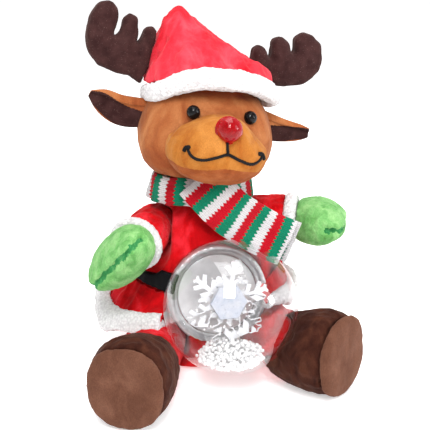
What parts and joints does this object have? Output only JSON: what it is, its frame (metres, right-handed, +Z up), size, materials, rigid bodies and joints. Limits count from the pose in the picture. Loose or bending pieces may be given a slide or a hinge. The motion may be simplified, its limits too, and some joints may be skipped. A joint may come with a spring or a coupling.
{
  "type": "light-up plush snow globe",
  "caption": "Seated plush reindeer in a red suit with a clear blown-snow globe in its belly, poseable limbs, turning head, light-up nose, fan and battery box.",
  "frame": {"origin": "a point on the flat seat face under the neck", "axes": "+Z up, -Y the way the face looks, +X towards the reindeer's left hand"},
  "size_m": [0.2743, 0.264, 0.342],
  "materials": {
    "red_plush": "short red plush",
    "red_trouser_plush": "short red plush",
    "tan_plush": "short tan plush",
    "golden_plush": "short golden tan plush",
    "dark_brown_fleece": "dark brown fleece",
    "boot_plush": "dark brown plush",
    "sole_plush": "brown plush",
    "white_fleece": "white fleece",
    "green_plush": "soft green plush",
    "scarf_knit": "striped knit",
    "black_satin": "black satin ribbon",
    "eye_black": "glossy",
    "red_lens": "clear red, glossy",
    "clear_globe": "clear, polished",
    "silver_plate": "silver coated",
    "white_plastic": "satin",
    "glitter_plastic": "clear with glitter",
    "foam_beads": "foam beads",
    "black_plastic": "satin",
    "board_green": "solder resist",
    "zinc_steel": "zinc plated",
    "cell_wrap": "printed sleeve, left plain",
    "wire_red": "wire insulation",
    "led_dome": "clear dome"
  },
  "bodies": {
    "torso": {"torso": "red_plush", "jacket_skirt": "red_plush", "jacket_hem": "white_fleece", "belt": "black_satin", "scarf_loop": "scarf_knit", "scarf_tail": "scarf_knit", "globe_shell": "clear_globe", "globe_collar": "silver_plate", "vent_plate": "silver_plate", "snowflake": "white_plastic", "glitter_lens": "glitter_plastic", "light_board": "board_green", "snow_beads": "foam_beads", "fan_housing": "black_plastic", "fan_motor": "zinc_steel", "housing_cover": "black_plastic", "housing_screw_1": "zinc_steel", "housing_screw_2": "zinc_steel", "housing_screw_3": "zinc_steel", "control_board": "board_green", "speaker": "black_plastic", "battery_box": "black_plastic", "battery_1": "cell_wrap", "battery_2": "cell_wrap", "battery_3": "cell_wrap", "battery_lead": "wire_red", "nose_lead_lower": "wire_red"},
    "fan": {"impeller": "white_plastic", "motor_shaft": "zinc_steel"},
    "battery_door": {"battery_door": "black_plastic", "battery_door_screw": "zinc_steel"},
    "power_switch": {"power_switch_knob": "white_plastic"},
    "head": {"head": "tan_plush", "muzzle": "golden_plush", "right_eye": "eye_black", "left_eye": "eye_black", "nose_lens": "red_lens", "nose_led": "led_dome", "nose_lead_upper": "wire_red", "right_ear": "tan_plush", "left_ear": "tan_plush", "right_antler": "dark_brown_fleece", "left_antler": "dark_brown_fleece", "hat": "red_plush", "hat_band": "white_fleece"},
    "right_arm": {"right_sleeve": "red_plush", "right_cuff": "white_fleece", "right_mitten": "green_plush"},
    "left_arm": {"left_sleeve": "red_plush", "left_cuff": "white_fleece", "left_mitten": "green_plush", "paw_switch_case": "black_plastic"},
    "paw_button": {"paw_button": "white_plastic"},
    "right_leg": {"right_trouser_leg": "red_trouser_plush", "right_boot": "boot_plush", "right_sole": "sole_plush"},
    "left_leg": {"left_trouser_leg": "red_trouser_plush", "left_boot": "boot_plush", "left_sole": "sole_plush"}
  },
  "joints": [
    {"name": "head_turn", "type": "hinge", "parent": "torso", "child": "head", "pos_m": [0.003, 0, 0.166], "axis": [0, 0, 1], "range_deg": [-20, 20], "stiffness_Nm_per_rad": 0.06},
    {"name": "right_arm_swing", "type": "hinge", "parent": "torso", "child": "right_arm", "pos_m": [-0.05, 0, 0.133], "axis": [-0.8232, 0.5677, 0], "range_deg": [-5, 20], "stiffness_Nm_per_rad": 0.5, "springref_deg": 1.72},
    {"name": "left_arm_swing", "type": "hinge", "parent": "torso", "child": "left_arm", "pos_m": [0.05, 0, 0.134], "axis": [-0.4061, -0.9138, 0], "range_deg": [-20, 20], "stiffness_Nm_per_rad": 0.5, "springref_deg": 1.72},
    {"name": "paw_press", "type": "slide", "parent": "left_arm", "child": "paw_button", "axis": [-0.0316, 0.0122, -0.9994], "range_m": [0, 0.002], "stiffness_N_per_m": 200},
    {"name": "right_leg_swing", "type": "hinge", "parent": "torso", "child": "right_leg", "pos_m": [-0.046, -0.006, 0.028], "axis": [0, 0, 1], "range_deg": [-12, 0], "stiffness_Nm_per_rad": 0.1},
    {"name": "left_leg_swing", "type": "hinge", "parent": "torso", "child": "left_leg", "pos_m": [0.046, -0.006, 0.028], "axis": [0, 0, 1], "range_deg": [0, 12], "stiffness_Nm_per_rad": 0.1},
    {"name": "fan_spin", "type": "hinge", "parent": "torso", "child": "fan", "pos_m": [0, -0.03045, 0.07469], "axis": [0, -0.9925, 0.1219], "continuous": true},
    {"name": "door_slide", "type": "slide", "parent": "torso", "child": "battery_door", "axis": [0, 1, 0], "range_m": [0, 0.025]},
    {"name": "switch_slide", "type": "slide", "parent": "torso", "child": "power_switch", "axis": [1, 0, 0], "range_m": [0, 0.004]}
  ]
}
